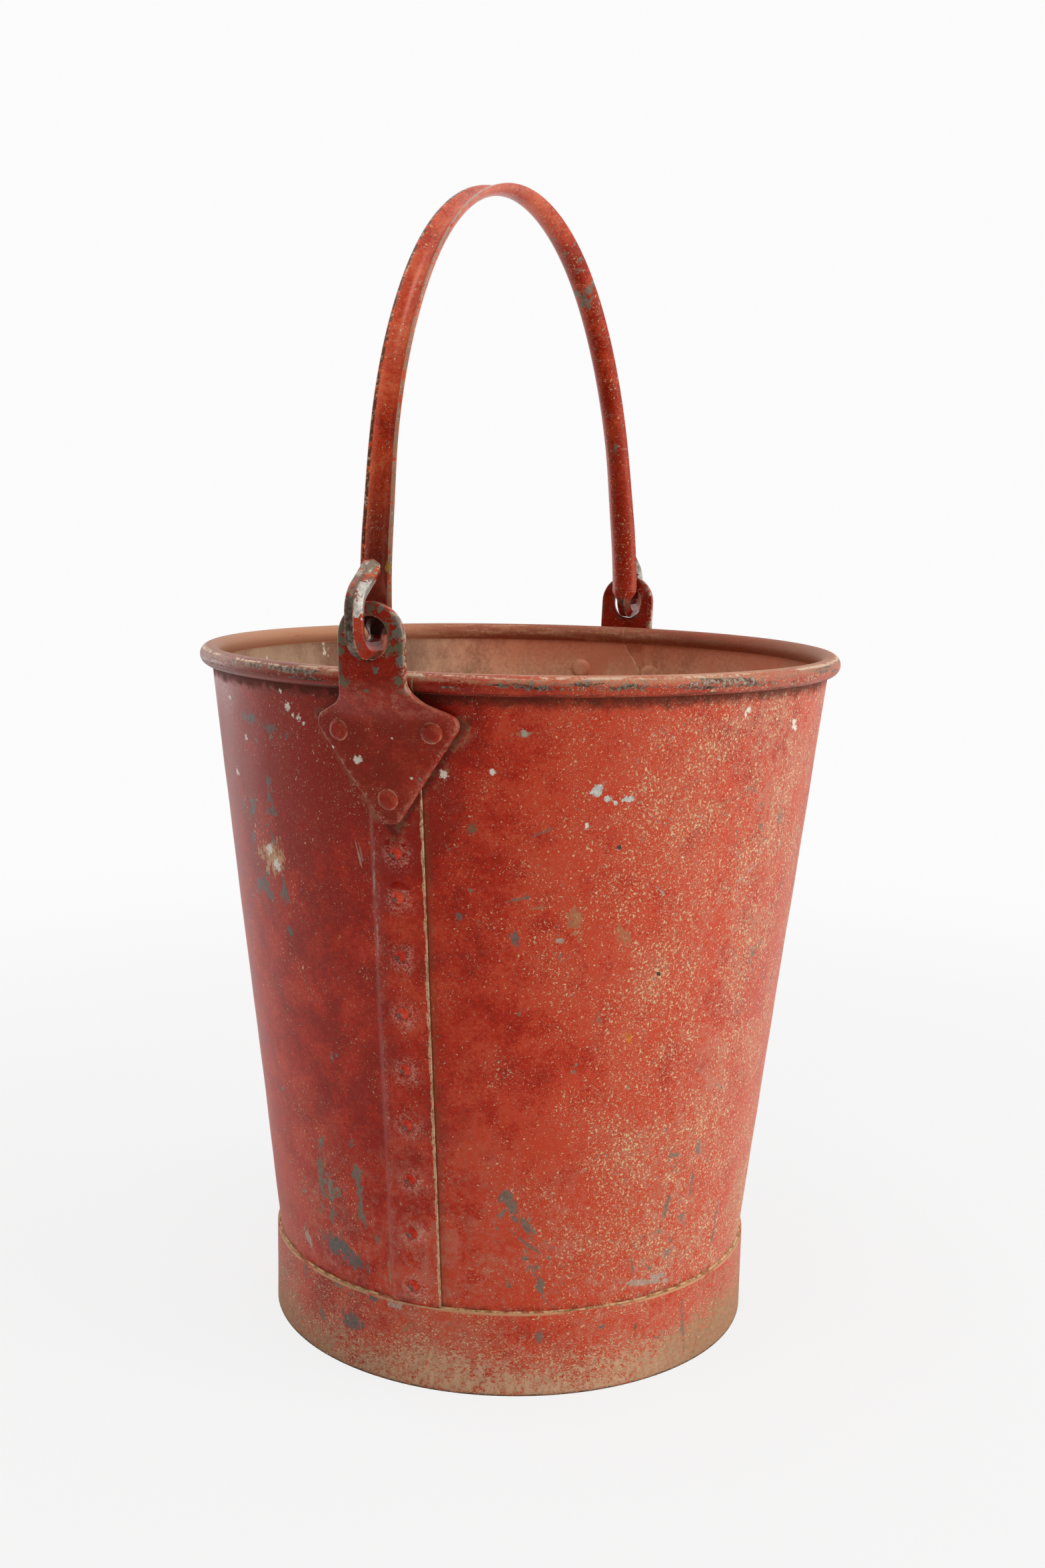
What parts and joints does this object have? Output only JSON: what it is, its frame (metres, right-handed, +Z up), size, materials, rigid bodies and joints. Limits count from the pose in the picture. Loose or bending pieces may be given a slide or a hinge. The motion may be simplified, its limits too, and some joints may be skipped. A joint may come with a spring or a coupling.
{
  "type": "fire bucket",
  "caption": "Tapered sheet-metal fire bucket with rolled rim, riveted seams, foot hoop and a trough-section bail hooked into riveted lugs.",
  "frame": {"origin": "on the floor, on the bucket's axis", "axes": "+Z up along the bucket's axis; the two lugs lie on the Y axis and the bail turns about a line parallel to Y"},
  "size_m": [0.3, 0.3466, 0.5308],
  "materials": {
    "body_paint": "worn red gloss paint over galvanised sheet, chipped to grey zinc, with pale specks",
    "hoop_paint": "worn red paint, stained brown at the lower edge",
    "base_paint": "dull dusty red paint",
    "rim_wire": "drawn steel wire",
    "lug_paint": "dark red gloss paint, worn to grey metal round the eye",
    "seam_rivets": "red paint rubbed bright on the heads",
    "lug_rivets": "dark red gloss paint",
    "bail_paint": "worn red paint, rubbed to grey steel on the hooks"
  },
  "bodies": {
    "bucket": {"body_sheet_left": "body_paint", "body_sheet_right": "body_paint", "rim_wire": "rim_wire", "base_disc": "base_paint", "foot_hoop": "hoop_paint", "front_lug": "lug_paint", "rear_lug": "lug_paint", "front_seam_rivet_1": "seam_rivets", "front_seam_rivet_2": "seam_rivets", "front_seam_rivet_3": "seam_rivets", "front_seam_rivet_4": "seam_rivets", "front_seam_rivet_5": "seam_rivets", "front_seam_rivet_6": "seam_rivets", "front_seam_rivet_7": "seam_rivets", "front_seam_rivet_8": "seam_rivets", "front_seam_rivet_9": "seam_rivets", "rear_seam_rivet_1": "seam_rivets", "rear_seam_rivet_2": "seam_rivets", "rear_seam_rivet_3": "seam_rivets", "rear_seam_rivet_4": "seam_rivets", "rear_seam_rivet_5": "seam_rivets", "rear_seam_rivet_6": "seam_rivets", "rear_seam_rivet_7": "seam_rivets", "rear_seam_rivet_8": "seam_rivets", "rear_seam_rivet_9": "seam_rivets", "front_lug_rivet_left": "lug_rivets", "front_lug_rivet_right": "lug_rivets", "front_lug_rivet_lower": "lug_rivets", "rear_lug_rivet_left": "lug_rivets", "rear_lug_rivet_right": "lug_rivets", "rear_lug_rivet_lower": "lug_rivets"},
    "bail": {"bail": "bail_paint"}
  },
  "joints": [
    {"name": "bail_hinge", "type": "hinge", "parent": "bucket", "child": "bail", "pos_m": [0, 0, 0.3304], "axis": [0, 1, 0], "range_deg": [-98, 102]}
  ]
}
